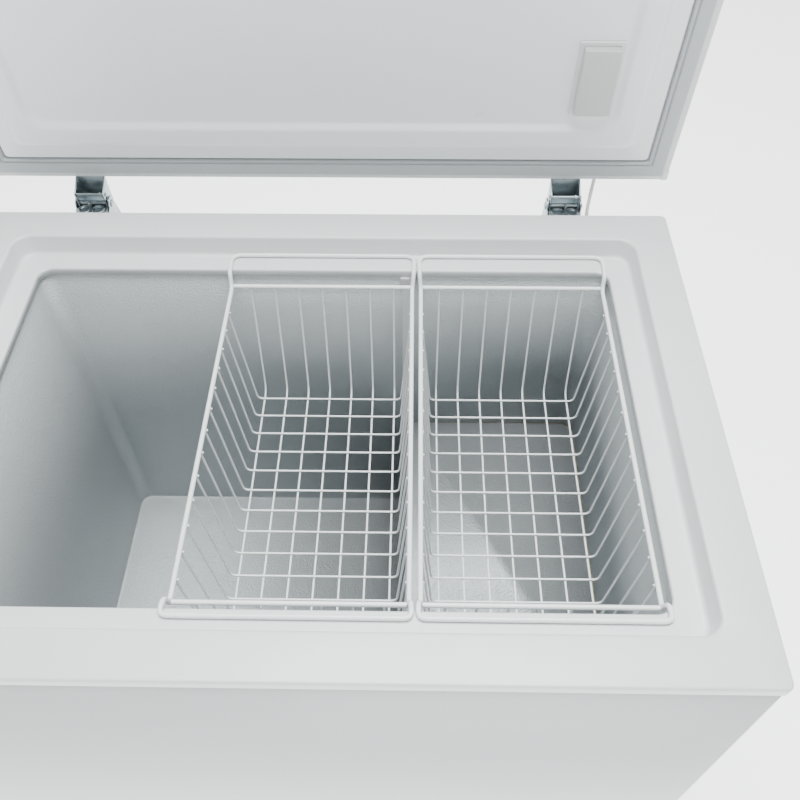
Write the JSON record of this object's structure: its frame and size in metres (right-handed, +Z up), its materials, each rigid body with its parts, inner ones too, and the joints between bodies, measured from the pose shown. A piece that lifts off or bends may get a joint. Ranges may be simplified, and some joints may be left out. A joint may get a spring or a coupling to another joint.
{
  "type": "chest freezer",
  "caption": "Chest freezer with a sprung lid held open, aluminium-lined cavity with a raised step, and hanging wire baskets.",
  "frame": {"origin": "on the floor, under the centre of the whole part's bounding box with the lid open as it rests", "axes": "+Z up, -Y towards the front, where the user stands, +X to the user's right along the cabinet's length; the lid's hinge line runs along X"},
  "size_m": [1.015, 0.8283, 1.5412],
  "materials": {
    "white_steel": "satin",
    "white_plastic": "satin",
    "embossed_aluminium": "satin",
    "zinc_steel": "satin",
    "galvanised_steel": "satin",
    "coated_wire": "satin",
    "gasket": "matte",
    "foam": "matte",
    "black_steel": "satin",
    "black_plastic": "matte",
    "copper": "satin",
    "clear_plastic": "satin"
  },
  "bodies": {
    "cabinet": {"outer_shell": "white_steel", "back_panel": "white_steel", "base_pan": "galvanised_steel", "rim_frame": "white_plastic", "liner_walls": "embossed_aluminium", "liner_floor": "embossed_aluminium", "liner_joint_strip": "white_plastic", "cabinet_foam": "foam", "foot_1": "black_plastic", "foot_2": "black_plastic", "foot_3": "black_plastic", "foot_4": "black_plastic", "vent_grille": "white_plastic", "compressor_plate": "galvanised_steel", "compressor": "black_steel", "terminal_box": "black_plastic", "suction_pipe": "copper", "control_plate": "white_plastic", "drain_cap": "white_plastic", "mains_cord_gland": "black_plastic", "lamp_cable_gland": "white_plastic", "lamp_cable": "clear_plastic", "hinge_body_left": "zinc_steel", "pivot_pin_left": "zinc_steel", "hinge_spring_left_1": "zinc_steel", "hinge_spring_left_2": "zinc_steel", "hinge_body_right": "zinc_steel", "pivot_pin_right": "zinc_steel", "hinge_spring_right_1": "zinc_steel", "hinge_spring_right_2": "zinc_steel"},
    "lid": {"lid_skin": "white_steel", "lid_gasket": "gasket", "lid_inner_panel": "white_plastic", "lid_foam": "foam", "lid_handle": "white_plastic", "lamp_base": "white_plastic", "lamp_cover": "clear_plastic", "lid_corner_cap_1": "white_plastic", "lid_corner_cap_2": "white_plastic", "lid_corner_cap_3": "white_plastic", "lid_corner_cap_4": "white_plastic", "hinge_leaf_left": "zinc_steel", "cam_pin_left": "zinc_steel", "hinge_leaf_right": "zinc_steel", "cam_pin_right": "zinc_steel"},
    "spring_plate_left": {"spring_plate_left": "zinc_steel"},
    "spring_plate_right": {"spring_plate_right": "zinc_steel"},
    "basket_left": {"basket_left_end_back": "coated_wire", "basket_left_end_front": "coated_wire", "basket_left_side_left": "coated_wire", "basket_left_side_right": "coated_wire", "basket_left_floor": "coated_wire"},
    "basket_right": {"basket_right_end_back": "coated_wire", "basket_right_end_front": "coated_wire", "basket_right_side_left": "coated_wire", "basket_right_side_right": "coated_wire", "basket_right_floor": "coated_wire"},
    "thermostat_knob": {"thermostat_knob": "white_plastic"}
  },
  "joints": [
    {"name": "lid_hinge", "type": "hinge", "parent": "cabinet", "child": "lid", "pos_m": [0, 0.3422, 0.773], "axis": [1, 0, 0], "range_deg": [0, 86], "stiffness_Nm_per_rad": 15},
    {"name": "spring_plate_left_slide", "type": "slide", "parent": "cabinet", "child": "spring_plate_left", "axis": [0, 0, 1], "range_m": [-0.026, 0], "deforming": ["hinge_spring_left_1", "hinge_spring_left_2"]},
    {"name": "spring_plate_right_slide", "type": "slide", "parent": "cabinet", "child": "spring_plate_right", "axis": [0, 0, 1], "range_m": [-0.026, 0], "deforming": ["hinge_spring_right_1", "hinge_spring_right_2"]},
    {"name": "basket_left_slide", "type": "slide", "parent": "cabinet", "child": "basket_left", "axis": [1, 0, 0], "range_m": [-0.27, 0]},
    {"name": "basket_right_slide", "type": "slide", "parent": "cabinet", "child": "basket_right", "axis": [1, 0, 0], "range_m": [0, 0.001]},
    {"name": "thermostat_turn", "type": "hinge", "parent": "cabinet", "child": "thermostat_knob", "pos_m": [0.405, -0.4068, 0.12], "axis": [0, -1, 0], "range_deg": [0, 270]}
  ],
  "couplings": [
    {"joint": "spring_plate_left_slide", "follows": "lid_hinge", "m_per_rad": -0.0172},
    {"joint": "spring_plate_right_slide", "follows": "lid_hinge", "m_per_rad": -0.0172}
  ]
}
